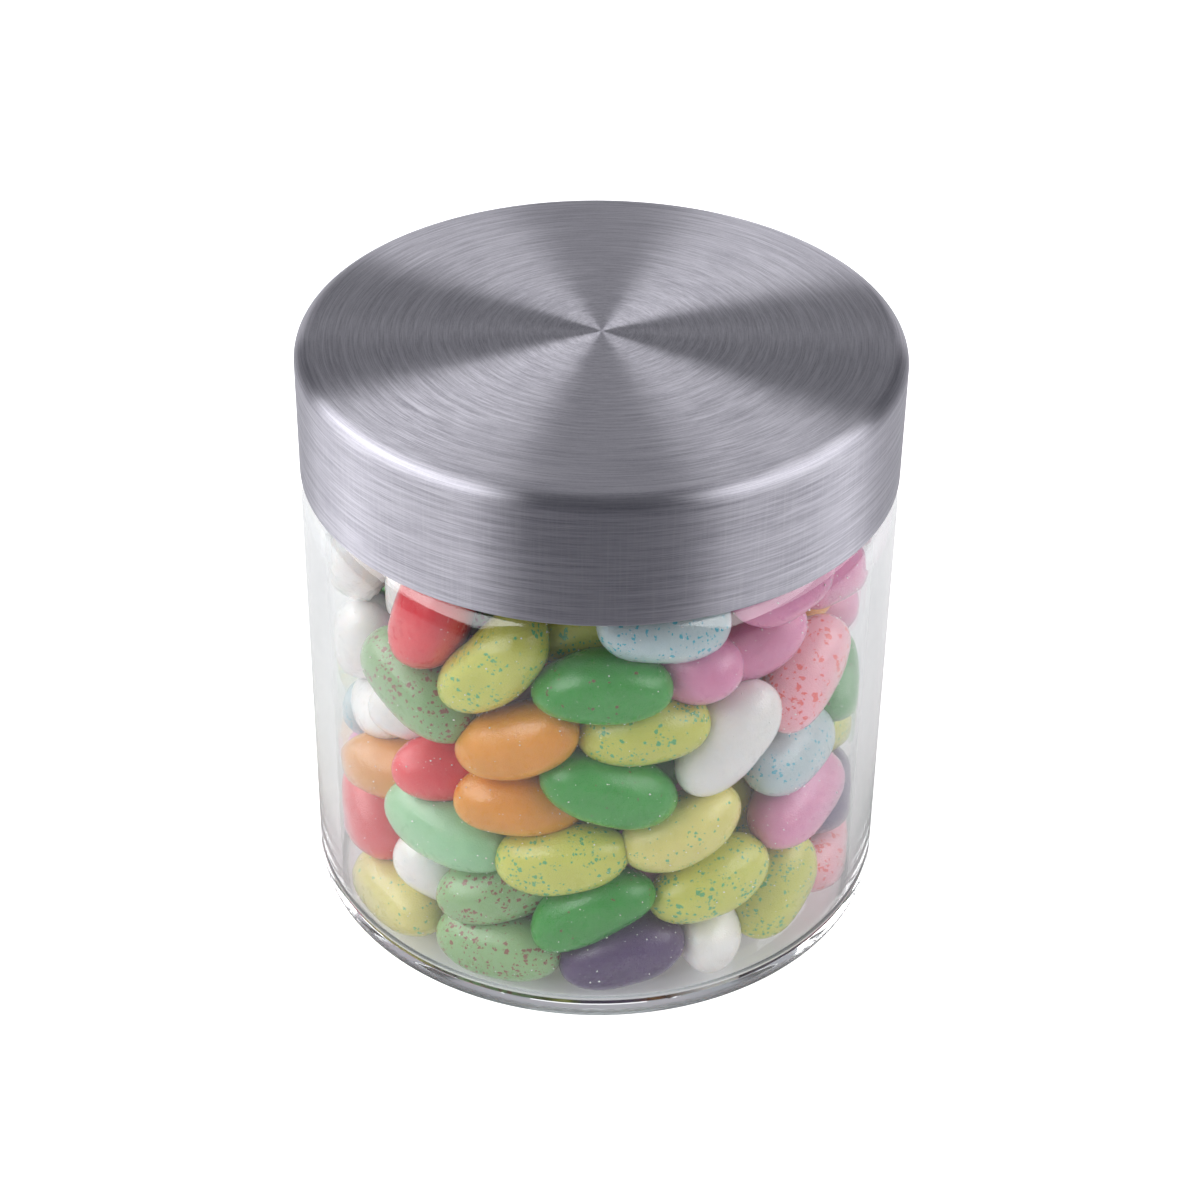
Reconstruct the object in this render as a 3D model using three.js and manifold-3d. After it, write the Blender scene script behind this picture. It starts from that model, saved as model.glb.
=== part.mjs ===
import * as THREE from "three";
import { mergeVertices } from "three/addons/utils/BufferGeometryUtils.js";
import Module from "manifold-3d";

// A squat glass jar full of jelly beans, shut by a brushed steel cap as wide as the glass.
// Millimetres, +Z up, origin at the middle of the face that the jar stands on, front towards -Y.

// Driving dimensions of the glass
const JAR_RADIUS = 41;
const WALL = 2.8;
const FLOOR = 1.8;
const FLOOR_RISE = 0.2;
const HEEL_RADIUS = 2.4;
const FOOT_WIDTH = 4.5;
const PUSH_UP = 0.7;
const INNER_HEEL_RADIUS = 2.2;
const SHOULDER_START = 61.8;
const SHOULDER_RISE = 5.4;
const SHOULDER_INSET = 4.8;
const INNER_SHOULDER_START = 60.4;
const INNER_SHOULDER_RISE = 5;
const NECK_WALL = 3;
const RIM_HEIGHT = 84.6;
const RIM_RADIUS = 1.2;

// Driving dimensions of the cap
const CAP_RADIUS = 41;
const CAP_TOP = 86.5;
const CAP_LOWER_EDGE = 67.2;
const CAP_WALL = 1;
const CAP_DOME = 0.5;
const CAP_EDGE_RADIUS = 2.1;

// Driving dimensions of the jelly beans
const BEAN_LENGTH = 18;
const BEAN_WIDTH = 9.3;
const PRESSED_WIDTH = 1.12;
const LEAST_BEND = 0.01;
const MOST_BEND = 0.06;
const BEAN_FLATNESS = 0.94;
const BEAN_FULLNESS = 2.15;
const BEAN_SIDES = 6;
const BEAN_RINGS = 4;
const LOOSE_BEANS = 186;
const CLEAR_OF_GLASS = 0.45;
const LEAST_GAP = 0.3;
const HEAP_BOTTOM = 2.3;
const HEAP_TOP = 84;

// Driving dimensions of the core that the beans which show are fused to
const CORE_RADIUS = 32.6;
const CORE_NECK_RADIUS = 26;
const CORE_BOTTOM = 8.7;
const CORE_TOP = 77;

const TURN_STEPS = 48;
const JOIN_DETAIL = 0.05;

// Worked out from the driving dimensions
const INNER_RADIUS = JAR_RADIUS - WALL;
const NECK_RADIUS = JAR_RADIUS - SHOULDER_INSET;
const NECK_INNER_RADIUS = NECK_RADIUS - NECK_WALL;
const SHOULDER_END = SHOULDER_START + SHOULDER_RISE;

const wasm = await Module();
wasm.setup();

// Points of a quarter of an ellipse about (x, z), from angle a to angle b in quarter turns.
function arc(x, z, across, up, a, b, steps) {
  const points = [];
  for (let i = 0; i <= steps; i += 1) {
    const t = ((a + ((b - a) * i) / steps) * Math.PI) / 2;
    points.push([x + across * Math.cos(t), z + up * Math.sin(t)]);
  }
  return points;
}

// A solid of revolution about Z from a closed profile of [radius, height] points.
function turned(profile) {
  const points = profile.map(([r, z]) => new THREE.Vector2(Math.max(r, 0), z));
  return new THREE.LatheGeometry(points, TURN_STEPS).rotateX(Math.PI / 2);
}

// The inside of the glass from the neck down to the slightly raised middle of the floor, at a gap.
function insideOfGlass(gap) {
  return [
    [NECK_INNER_RADIUS - gap, SHOULDER_END - 1],
    ...arc(
      NECK_INNER_RADIUS - gap,
      INNER_SHOULDER_START - gap,
      INNER_RADIUS - NECK_INNER_RADIUS,
      INNER_SHOULDER_RISE,
      0.8,
      0,
      4,
    ),
    ...arc(
      INNER_RADIUS - INNER_HEEL_RADIUS - gap,
      FLOOR + INNER_HEEL_RADIUS + gap,
      INNER_HEEL_RADIUS,
      INNER_HEEL_RADIUS,
      0,
      -1,
      3,
    ),
    [0, FLOOR + FLOOR_RISE + gap],
  ];
}

// The glass: a foot ring, straight wall, rounded shoulder and plain neck, open at the top.
function jarProfile() {
  const footEdge = JAR_RADIUS - HEEL_RADIUS;
  return [
    [0, PUSH_UP],
    [footEdge - FOOT_WIDTH - 1, PUSH_UP],
    [footEdge - FOOT_WIDTH, 0],
    ...arc(footEdge, HEEL_RADIUS, HEEL_RADIUS, HEEL_RADIUS, -1, 0, 3),
    ...arc(NECK_RADIUS, SHOULDER_START, SHOULDER_INSET, SHOULDER_RISE, 0, 0.9, 5),
    [NECK_RADIUS, SHOULDER_END + 1],
    ...arc(NECK_RADIUS - RIM_RADIUS, RIM_HEIGHT - RIM_RADIUS, RIM_RADIUS, RIM_RADIUS, 0, 1, 2),
    ...arc(NECK_INNER_RADIUS + RIM_RADIUS, RIM_HEIGHT - RIM_RADIUS, RIM_RADIUS, RIM_RADIUS, 1, 2, 2),
    ...insideOfGlass(0),
  ];
}

// The cap: a barely domed top, a soft rolled edge and a straight skirt, hollow underneath.
function capProfile() {
  const inside = CAP_RADIUS - CAP_WALL;
  const innerEdge = CAP_EDGE_RADIUS - CAP_WALL;
  const flatRadius = CAP_RADIUS - CAP_EDGE_RADIUS;
  const edgeTop = CAP_TOP - CAP_DOME;
  const dome = [0.75, 0.5, 0.25].map((share) => [flatRadius * share, CAP_TOP - CAP_DOME * share ** 2]);
  return [
    [0, edgeTop - CAP_WALL],
    ...arc(inside - innerEdge, edgeTop - CAP_EDGE_RADIUS, innerEdge, innerEdge, 1, 0, 2),
    [inside, CAP_LOWER_EDGE],
    [CAP_RADIUS, CAP_LOWER_EDGE],
    ...arc(flatRadius, edgeTop - CAP_EDGE_RADIUS, CAP_EDGE_RADIUS, CAP_EDGE_RADIUS, 0, 1, 5),
    ...dome,
    [0, CAP_TOP],
  ];
}

// The beans that show at the front, as they lie: degrees round the jar from the front, positive to
// the right, height, lean of the right end upwards, and optionally the turn of the right end
// towards the middle, how far the bean stands off the wall, and its length.
const FRONT_BEANS = [
  { at: -39, height: 58.5, lean: 74 },
  { at: -44, height: 46, lean: -24, long: 19.3 },
  { at: -23, height: 54, lean: 46, turn: 12, long: 19 },
  { at: 3.5, height: 51.7, lean: 3, long: 18.2 },
  { at: -17, height: 43.5, lean: 26, long: 18.2 },
  { at: -37, height: 31.5, lean: 14, turn: 52, off: 2, long: 17 },
  { at: -59, height: 27, lean: -8, turn: 25, long: 17 },
  { at: -18, height: 32.3, lean: 2, off: 1.5, long: 17.5 },
  { at: 2, height: 36, lean: -15, long: 18.8 },
  { at: -36.5, height: 25.8, lean: -22, long: 19.5 },
  { at: -66, height: 15.5, lean: -62, long: 16.5 },
  { at: -41, height: 11.5, lean: -40, turn: 45, off: 1, long: 15 },
  { at: -53.5, height: 5, lean: 10, long: 18.5 },
  { at: -23, height: 14, lean: 20, off: 1.5 },
  { at: -8.5, height: 24, lean: 14, long: 18.3 },
  { at: -22, height: 6, lean: 8, long: 18.3 },
  { at: -2, height: 14.5, lean: 28, long: 18.3 },
  { at: 5.5, height: 7, lean: 22, long: 17.6 },
  { at: 30.5, height: 7, lean: 0, turn: 78, off: 1.5 },
  { at: 27.5, height: 17.5, lean: 16 },
  { at: 46, height: 11, lean: 42, long: 16.5 },
  { at: 19, height: 27.5, lean: 19, off: 0.5, long: 17.5 },
  { at: 11, height: 46, lean: 4, off: 1.5, long: 17.5 },
  { at: 30, height: 42, lean: 44, long: 18.2 },
  { at: 54.5, height: 32.5, lean: 4, off: 1, long: 17.5 },
  { at: 55, height: 24, lean: 14 },
  { at: 76, height: 17, lean: 0 },
  { at: 71, height: 8, lean: 0 },
  { at: 54.5, height: 45.5, lean: 36, long: 17.5 },
  { at: 63, height: 56.5, lean: 8, turn: -50, off: 3, long: 18.5 },
  { at: 39, height: 53.5, lean: 12, off: 4, long: 17 },
  { at: 21.5, height: 52, lean: 8, turn: -32, off: 2.5, long: 15 },
  { at: 14, height: 61.5, lean: -5, long: 17.5 },
  { at: 46, height: 62.5, lean: 2 },
  { at: 79, height: 35, lean: 5 },
  { at: -5, height: 59, lean: 5, off: 6 },
  { at: -30, height: 58, lean: 20, off: 7 },
  { at: -70, height: 58, lean: 60 },
  { at: -75, height: 42, lean: 65 },
  { at: -70, height: 31, lean: 10, off: 2, long: 17 },
];

// Numbers from 0 to 1 that look random and are the same at each run.
let seed = 20731;
function draw() {
  seed = (seed * 16807) % 2147483647;
  return seed / 2147483647;
}

const vec = (x, y, z) => new THREE.Vector3(x, y, z);

// A front bean where the list has it: its middle and the way its long axis points.
function frontBean({ at, height, lean, turn = 0, off = 0, long = BEAN_LENGTH }) {
  const a = THREE.MathUtils.degToRad(at);
  const l = THREE.MathUtils.degToRad(lean);
  const t = THREE.MathUtils.degToRad(turn);
  const outwards = vec(Math.sin(a), -Math.cos(a), 0);
  const rightwards = vec(Math.cos(a), Math.sin(a), 0);
  const radius = INNER_RADIUS - CLEAR_OF_GLASS - BEAN_WIDTH / 2 - off;
  const axis = rightwards
    .multiplyScalar(Math.cos(l) * Math.cos(t))
    .addScaledVector(outwards, -Math.sin(t) * Math.cos(l))
    .add(vec(0, 0, Math.sin(l)))
    .normalize();
  const middle = outwards.multiplyScalar(radius).setZ(height);
  return { middle, axis, home: middle.clone(), homeAxis: axis.clone(), long, wide: BEAN_WIDTH };
}

// A loose bean anywhere in the jar, at any angle.
function looseBean() {
  const a = 2 * Math.PI * draw();
  const r = (INNER_RADIUS - 5) * Math.sqrt(draw());
  const z = FLOOR + 4 + (HEAP_TOP - FLOOR - 8) * draw();
  const up = 2 * draw() - 1;
  const round = 2 * Math.PI * draw();
  const flat = Math.sqrt(1 - up * up);
  return {
    middle: vec(r * Math.cos(a), r * Math.sin(a), z),
    axis: vec(flat * Math.cos(round), flat * Math.sin(round), up),
    long: BEAN_LENGTH * (0.9 + 0.18 * draw()),
    wide: BEAN_WIDTH * (0.94 + 0.12 * draw()),
  };
}

// Each bean is felt by its neighbours as five balls along its axis.
const BALLS = [-0.27, -0.14, 0, 0.14, 0.27];
const BALL_SIZES = [0.42, 0.475, 0.49, 0.475, 0.42];
const SETTLING_STEPS = 1500;
const GROWING_STEPS = 1050;
const FIRST_SIZE = 0.45;
const PUSH = 0.2;
const SINK = 0.01;
const HOLD = 0.09;

function ballsOf(bean, size) {
  return BALLS.map((along, i) => ({
    centre: bean.middle.clone().addScaledVector(bean.axis, along * bean.long * size),
    radius: BALL_SIZES[i] * bean.wide * size,
    along: along * bean.long * size,
  }));
}

// The radius that the beans have at a height: inside the wall, the shoulder, then the neck.
function roomAt(z) {
  const clear = CLEAR_OF_GLASS;
  const high = (z - INNER_SHOULDER_START + clear) / INNER_SHOULDER_RISE;
  const low = (FLOOR + INNER_HEEL_RADIUS + clear - z) / INNER_HEEL_RADIUS;
  const bow = (t) => 1 - Math.sqrt(1 - THREE.MathUtils.clamp(t, 0, 1) ** 2);
  const shoulder = (INNER_RADIUS - NECK_INNER_RADIUS) * bow(high);
  const heel = INNER_HEEL_RADIUS * bow(low);
  return INNER_RADIUS - clear - shoulder - heel;
}

// How far a ball has to move to be inside the glass.
function wallPush(ball) {
  const { x, y, z } = ball.centre;
  const r = Math.hypot(x, y);
  const over = Math.max(0, r + ball.radius - roomAt(z));
  const under = Math.max(0, HEAP_BOTTOM + ball.radius - z);
  const above = Math.max(0, z + ball.radius - HEAP_TOP);
  return vec(r > 0 ? (-x / r) * over : 0, r > 0 ? (-y / r) * over : 0, under - above);
}

// The beans grow to full size while they push each other and the glass away, and sink a little.
function settle(beans) {
  for (let step = 0; step < SETTLING_STEPS; step += 1) {
    const grown = Math.min(1, step / GROWING_STEPS);
    const size = FIRST_SIZE + (1 - FIRST_SIZE) * grown;
    const balls = beans.map((bean) => ballsOf(bean, size));
    const moves = beans.map(() => vec(0, 0, 0));
    const turns = beans.map(() => vec(0, 0, 0));
    for (let i = 0; i < beans.length; i += 1) {
      for (let j = i + 1; j < beans.length; j += 1) {
        const reach = ((beans[i].long + beans[j].long) / 2) * size;
        if (beans[i].middle.distanceTo(beans[j].middle) > reach) continue;
        for (const a of balls[i]) {
          for (const b of balls[j]) {
            const apart = a.centre.clone().sub(b.centre);
            const overlap = a.radius + b.radius - apart.length();
            if (overlap <= 0) continue;
            apart.setLength(overlap / 2);
            moves[i].add(apart);
            moves[j].sub(apart);
            turns[i].addScaledVector(apart, a.along);
            turns[j].addScaledVector(apart, -b.along);
          }
        }
      }
      for (const ball of balls[i]) {
        const push = wallPush(ball);
        moves[i].addScaledVector(push, 2);
        turns[i].addScaledVector(push, 2 * ball.along);
      }
    }
    beans.forEach((bean, i) => {
      const spread = (bean.long * size) ** 2 / 14;
      bean.middle.addScaledVector(moves[i], PUSH);
      bean.axis.addScaledVector(turns[i], PUSH / spread).normalize();
      if (bean.home) {
        bean.middle.lerp(bean.home, HOLD);
        bean.axis.lerp(bean.homeAxis, HOLD).normalize();
      } else if (grown < 1) {
        bean.middle.z -= SINK;
      }
    });
  }
  return beans;
}

// The way that each bean is bent, and how far.
function bent(bean) {
  const bend = vec(draw() - 0.5, draw() - 0.5, draw() - 0.5);
  bend.addScaledVector(bean.axis, -bend.dot(bean.axis)).normalize();
  return { ...bean, bend, bow: LEAST_BEND + (MOST_BEND - LEAST_BEND) * draw() };
}

// One bean with few sides: a full oval, bent a little, slightly flat across the bend, and wide
// enough to press into its neighbours.
function beanMesh(bean) {
  const { bend } = bean;
  const across = bean.axis.clone().cross(bend);
  const positions = [];
  const indices = [];
  const half = bean.long / 2;
  const place = (t, angle) => {
    const oval = (1 - Math.abs(t) ** BEAN_FULLNESS) ** (1 / BEAN_FULLNESS);
    const radius = ((PRESSED_WIDTH * bean.wide) / 2) * oval;
    const sag = -bean.bow * bean.long * (t * t - 0.35);
    const p = bean.middle
      .clone()
      .addScaledVector(bean.axis, half * t)
      .addScaledVector(bend, sag + BEAN_FLATNESS * radius * Math.cos(angle))
      .addScaledVector(across, radius * Math.sin(angle));
    const inwards = Math.min(1, roomAt(p.z) / Math.hypot(p.x, p.y));
    positions.push(p.x * inwards, p.y * inwards, THREE.MathUtils.clamp(p.z, HEAP_BOTTOM, HEAP_TOP));
  };
  place(-1, 0);
  for (let ring = 1; ring <= BEAN_RINGS; ring += 1) {
    const t = -Math.cos((Math.PI * ring) / (BEAN_RINGS + 1));
    for (let side = 0; side < BEAN_SIDES; side += 1) {
      place(t, (2 * Math.PI * (side + (ring % 2) / 2)) / BEAN_SIDES);
    }
  }
  place(1, 0);
  const last = BEAN_RINGS * BEAN_SIDES + 1;
  for (let side = 0; side < BEAN_SIDES; side += 1) {
    const next = (side + 1) % BEAN_SIDES;
    indices.push(0, 1 + next, 1 + side);
    const end = last - BEAN_SIDES;
    indices.push(last, end + side, end + next);
    for (let ring = 0; ring < BEAN_RINGS - 1; ring += 1) {
      const low = 1 + ring * BEAN_SIDES;
      const high = low + BEAN_SIDES;
      const shifted = ring % 2 === 0;
      const lead = shifted ? [low + side, low + next, high + next] : [low + side, low + next, high + side];
      const rest = shifted ? [low + side, high + next, high + side] : [low + next, high + next, high + side];
      indices.push(...lead, ...rest);
    }
  }
  const geometry = new THREE.BufferGeometry();
  geometry.setAttribute("position", new THREE.Float32BufferAttribute(positions, 3));
  geometry.setIndex(indices);
  return geometry;
}

// A closed geometry as a solid that can be joined and cut.
function solid(geometry) {
  const bare = geometry.clone();
  bare.deleteAttribute("normal");
  bare.deleteAttribute("uv");
  const merged = mergeVertices(bare, 1e-4);
  return new wasm.Manifold(
    new wasm.Mesh({
      numProp: 3,
      vertProperties: new Float32Array(merged.attributes.position.array),
      triVerts: new Uint32Array(merged.index.array),
    }),
  );
}

// A joined solid as a geometry to draw.
function drawn(joined) {
  const { vertProperties, triVerts } = joined.getMesh();
  const geometry = new THREE.BufferGeometry();
  geometry.setAttribute("position", new THREE.Float32BufferAttribute(vertProperties, 3));
  geometry.setIndex(Array.from(triVerts));
  return geometry;
}

// The core: a plain body inside the heap that stays clear of the glass all round.
function coreProfile() {
  return [
    [0, CORE_BOTTOM],
    [CORE_RADIUS - 2, CORE_BOTTOM],
    [CORE_RADIUS, CORE_BOTTOM + 2],
    [CORE_RADIUS, SHOULDER_START - 5],
    [CORE_NECK_RADIUS, SHOULDER_END - 3],
    [CORE_NECK_RADIUS, CORE_TOP],
    [0, CORE_TOP],
  ];
}

// True for a bean that reaches out of the core far enough to show.
function shows(bean) {
  const r = Math.hypot(bean.middle.x, bean.middle.y);
  const low = bean.middle.z < CORE_BOTTOM + 3;
  const high = bean.middle.z > CORE_TOP - 3;
  const neck = bean.middle.z > SHOULDER_END - 6 && r > CORE_NECK_RADIUS - 3;
  return low || high || neck || r > CORE_RADIUS - 3;
}

// The room that the heap stays in: the inside of the glass at the least gap.
function roomProfile() {
  return [...insideOfGlass(LEAST_GAP).reverse(), [NECK_INNER_RADIUS - LEAST_GAP, HEAP_TOP], [0, HEAP_TOP]];
}

// The heap is one body: the core with every bean that shows fused on.
function heapGeometry() {
  const loose = Array.from({ length: LOOSE_BEANS }, looseBean);
  const beans = settle([...FRONT_BEANS.map(frontBean), ...loose]).map(bent);
  const pieces = beans.filter(shows).map((bean) => solid(beanMesh(bean)));
  const joined = pieces.reduce((sum, piece) => sum.add(piece), solid(turned(coreProfile())));
  const inRoom = joined.intersect(solid(turned(roomProfile())));
  const bodies = inRoom.simplify(JOIN_DETAIL).decompose();
  return drawn(bodies.sort((a, b) => b.volume() - a.volume())[0]);
}

function named(name, geometry, material) {
  const mesh = new THREE.Mesh(geometry, material);
  mesh.name = name;
  return mesh;
}

const glass = new THREE.MeshStandardMaterial({
  color: 0xe6ecec,
  roughness: 0.05,
  metalness: 0,
  transparent: true,
  opacity: 0.35,
});
const brushedSteel = new THREE.MeshStandardMaterial({ color: 0xb4b3b8, roughness: 0.35, metalness: 1 });
const jellyBean = new THREE.MeshStandardMaterial({ color: 0xb9c46a, roughness: 0.3, metalness: 0 });

const jar = new THREE.Group();
jar.name = "jelly_bean_jar";
jar.add(named("glass_jar", turned(jarProfile()), glass));
jar.add(named("steel_cap", turned(capProfile()), brushedSteel));
jar.add(named("jelly_beans", heapGeometry(), jellyBean));

export default jar;
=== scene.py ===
import math

import bpy
import numpy as np
from mathutils import Matrix, Vector


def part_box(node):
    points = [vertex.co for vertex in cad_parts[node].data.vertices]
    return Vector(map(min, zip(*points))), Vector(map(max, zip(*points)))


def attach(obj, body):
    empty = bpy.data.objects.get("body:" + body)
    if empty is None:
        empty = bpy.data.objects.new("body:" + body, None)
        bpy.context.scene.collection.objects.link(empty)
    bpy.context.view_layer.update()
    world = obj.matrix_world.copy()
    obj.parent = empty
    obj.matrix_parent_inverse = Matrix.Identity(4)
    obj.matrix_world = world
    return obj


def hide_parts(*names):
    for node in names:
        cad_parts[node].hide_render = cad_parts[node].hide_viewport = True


# A squat glass jar of mixed jelly beans under a brushed steel cap.
# Sizes are in millimetres where a name says nothing else, and metres once they reach Blender.

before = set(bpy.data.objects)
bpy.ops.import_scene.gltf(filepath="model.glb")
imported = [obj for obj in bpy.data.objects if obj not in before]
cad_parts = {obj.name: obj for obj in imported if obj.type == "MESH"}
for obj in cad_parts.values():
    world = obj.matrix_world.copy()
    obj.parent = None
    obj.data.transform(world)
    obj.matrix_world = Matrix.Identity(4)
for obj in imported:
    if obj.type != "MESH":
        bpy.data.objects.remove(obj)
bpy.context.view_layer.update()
MM = 0.001

# Sizes taken from the frame
JAR_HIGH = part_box("glass_jar")[1] / MM
CAP_LOW, CAP_HIGH = (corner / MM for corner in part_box("steel_cap"))
JAR_RADIUS = JAR_HIGH.x
CAP_RADIUS = CAP_HIGH.x

# Glass
WALL = 2.8
FLOOR = 1.8
FLOOR_RISE = 0.2
HEEL_RADIUS = 2.4
FOOT_WIDTH = 4.5
PUSH_UP = 0.7
INNER_HEEL_RADIUS = 2.2
SHOULDER_START = 61.8
SHOULDER_RISE = 5.4
SHOULDER_INSET = 4.8
INNER_SHOULDER_START = 60.4
INNER_SHOULDER_RISE = 5
NECK_WALL = 3
RIM_RADIUS = 1.2
FOOT_SLOPE = 1
NECK_START = 1
SHOULDER_TURN = 0.94
INNER_SHOULDER_TURN = 0.86
INNER_RADIUS = JAR_RADIUS - WALL
NECK_RADIUS = JAR_RADIUS - SHOULDER_INSET
NECK_INNER_RADIUS = NECK_RADIUS - NECK_WALL
SHOULDER_END = SHOULDER_START + SHOULDER_RISE
HEEL_STEPS = 16
SHOULDER_STEPS = 16
RIM_STEPS = 6
INNER_SHOULDER_STEPS = 14
INNER_HEEL_STEPS = 12

# Ticks moulded into the ring that the jar stands on
TICKS = 108
TICK_DEPTH = 0.03
TICK_SHARPNESS = 8
TICK_FROM = 36
TICK_TO = 37.6
TICK_RINGS = 6
GLASS_SEGMENTS = TICKS * 5

# Cap
CAP_WALL = 1
CAP_EDGE_RADIUS = 2.1
HEM_RADIUS = 0.3
CAP_DOME = 0.5
CAP_EDGE_TURN = 0.97
CAP_EDGE_STEPS = 14
INNER_EDGE_STEPS = 8
HEM_STEPS = 5
DOME_STEPS = 12
CAP_SEGMENTS = 256

# Where points lie along a straight stretch of a turned profile, as shares of it
LINE_SHARES = (0.01, 0.04, 0.25, 0.5, 0.75, 0.96, 0.99)

# Jelly beans
BEAN_LENGTH = 18
BEAN_WIDTH = 9.3
PRESSED_WIDTH = 1.12
LEAST_BEND = 0.01
MOST_BEND = 0.06
BEAN_FLATNESS = 0.94
BEAN_FULLNESS = 2.15
BEAN_TAPER = 0.09
BOW_MIDDLE = 0.35
BEAN_SIDES = 28
BEAN_RINGS = 19
LOOSE_BEANS = 186
CLEAR_OF_GLASS = 0.45
HEAP_BOTTOM = 2.3
HEAP_TOP = 84
SHOWING_RADIUS = 29

# Soft lumps of a bean: how high, how often round it and how often along it. Of the numbers that are
# drawn for them one is to spare.
LUMPS = [(0.012, 2, 3), (0.010, 3, -4), (0.008, 1, 7)]
LUMP_DRAWS = 4

# Where the loose beans start, and the least and the range of their length and width
LOOSE_FROM_WALL = 5
LOOSE_FROM_ENDS = 4
LOOSE_LENGTH = (0.9, 0.18)
LOOSE_WIDTH = (0.94, 0.12)

# How far a bean's skin may press past the room of the settling, and how softly it is held back
SKIN_PRESS = 0.1
SKIN_EASE = 0.5

# Loose sugar on the beans: the least and the range of a grain's size and of its stretch each way
SUGAR_GRAINS = 1500
SUGAR_SIZE = 0.12
GRAIN_SIZE = (0.6, 0.8)
GRAIN_STRETCH = (0.7, 0.6)

# How the beans settle: each is felt by its neighbours as five balls along its axis
BALLS = np.array([-0.27, -0.14, 0, 0.14, 0.27])
BALL_SIZES = np.array([0.42, 0.475, 0.49, 0.475, 0.42])
SETTLING_STEPS = 1500
GROWING_STEPS = 1050
FIRST_SIZE = 0.45
PUSH = 0.2
SINK = 0.01
HOLD = 0.09
TURN_RESISTANCE = 14

# The camera that the photograph's outline gives, in metres, degrees and the photo's pixels, with
# its sensor in millimetres
PHOTO_SIZE = 1200
CAMERA_TARGET = Vector((0, 0, 0.045))
CAMERA_DISTANCE = 0.3955
CAMERA_ELEVATION = 34.53
CAMERA_ROLL = 0.73
FOCAL_PIXELS = 2793
OPTICAL_CENTRE = (598.5, 587.5)
SENSOR = 36
CLIP_START = 0.01

# The beans that show at the front, as they lie: kind, degrees round the jar from the front,
# positive to the right, height, lean of the right end upwards, turn of the right end towards the
# middle, how far the bean stands off the wall, and its length.
FRONT_BEANS = [
    ("red", -39, 58.5, 74, 0, 0, 18),
    ("moss", -44, 46, -24, 0, 0, 19.3),
    ("lime", -23, 54, 46, 12, 0, 19),
    ("green", 3.5, 51.7, 3, 0, 0, 18.2),
    ("orange", -17, 43.5, 26, 0, 0, 18.2),
    ("red", -37, 31.5, 14, 52, 2, 17),
    ("orange", -59, 27, -8, 25, 0, 17),
    ("orange", -18, 32.3, 2, 0, 1.5, 17.5),
    ("green", 2, 36, -15, 0, 0, 18.8),
    ("mint", -36.5, 25.8, -22, 0, 0, 19.5),
    ("red", -66, 15.5, -62, 0, 0, 16.5),
    ("white", -41, 11.5, -40, 45, 1, 15),
    ("lemon", -53.5, 5, 10, 0, 0, 18.5),
    ("moss", -23, 14, 20, 0, 1.5, 18),
    ("lime", -8.5, 24, 14, 0, 0, 18.3),
    ("moss", -22, 6, 8, 0, 0, 18.3),
    ("green", -2, 14.5, 28, 0, 0, 18.3),
    ("purple", 5.5, 7, 22, 0, 0, 17.6),
    ("white", 30.5, 7, 0, 78, 1.5, 18),
    ("lime", 27.5, 17.5, 16, 0, 0, 18),
    ("lime", 46, 11, 42, 0, 0, 16.5),
    ("lemon", 19, 27.5, 19, 0, 0.5, 17.5),
    ("lime", 11, 46, 4, 0, 1.5, 17.5),
    ("white", 30, 42, 44, 0, 0, 18.2),
    ("sky", 54.5, 32.5, 4, 0, 1, 17.5),
    ("pink", 55, 24, 14, 0, 0, 18),
    ("purple", 76, 17, 0, 0, 0, 18),
    ("rose", 71, 8, 0, 0, 0, 18),
    ("rose", 54.5, 45.5, 36, 0, 0, 17.5),
    ("pink", 63, 56.5, 8, -50, 3, 18.5),
    ("pink", 39, 53.5, 12, 0, 4, 17),
    ("pink", 21.5, 52, 8, -32, 2.5, 15),
    ("sky", 14, 61.5, -5, 0, 0, 17.5),
    ("pink", 46, 62.5, 2, 0, 0, 18),
    ("green", 79, 35, 5, 0, 0, 18),
    ("lime", -5, 59, 5, 0, 6, 18),
    ("moss", -30, 58, 20, 0, 7, 18),
    ("white", -70, 58, 60, 0, 0, 18),
    ("white", -75, 42, 65, 0, 0, 18),
    ("white", -70, 31, 10, 0, 2, 17),
]

# Each kind of bean: its colour, the colour of its specks, how many of the speck cells are filled,
# and its share among the loose beans.
KINDS = {
    "green": ((0.015, 0.31, 0.02), (0.16, 0.03, 0.02), 0.06, 3),
    "mint": ((0.30, 0.59, 0.32), (0.30, 0.59, 0.32), 0, 2),
    "red": ((0.80, 0.018, 0.036), (0.80, 0.018, 0.036), 0, 3),
    "orange": ((0.74, 0.285, 0.0), (0.74, 0.285, 0.0), 0, 3),
    "white": ((0.88, 0.86, 0.84), (0.88, 0.86, 0.84), 0, 4),
    "sky": ((0.50, 0.61, 0.64), (0.03, 0.38, 0.50), 0.4, 3),
    "pink": ((0.73, 0.26, 0.45), (0.73, 0.26, 0.45), 0, 4),
    "rose": ((0.92, 0.42, 0.50), (0.80, 0.06, 0.04), 1.6, 2),
    "purple": ((0.075, 0.028, 0.135), (0.075, 0.028, 0.135), 0, 2),
    "lemon": ((0.75, 0.69, 0.22), (0.06, 0.42, 0.22), 0.16, 3),
    "lime": ((0.58, 0.60, 0.10), (0.05, 0.38, 0.18), 0.75, 4),
    "moss": ((0.26, 0.45, 0.19), (0.25, 0.04, 0.045), 1, 3),
}

# Loose beans that show between the front ones, and their kinds
SEEN_BETWEEN = {
    58: "pink", 61: "lime", 73: "pink", 112: "pink", 119: "sky", 173: "white", 223: "pink",
}

# Looks. A pattern is its scale, in marks per millimetre, and its detail. A roughness is the least
# and the most, a pair of colours the darkest and the palest, and a bump its strength and its depth.

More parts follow.
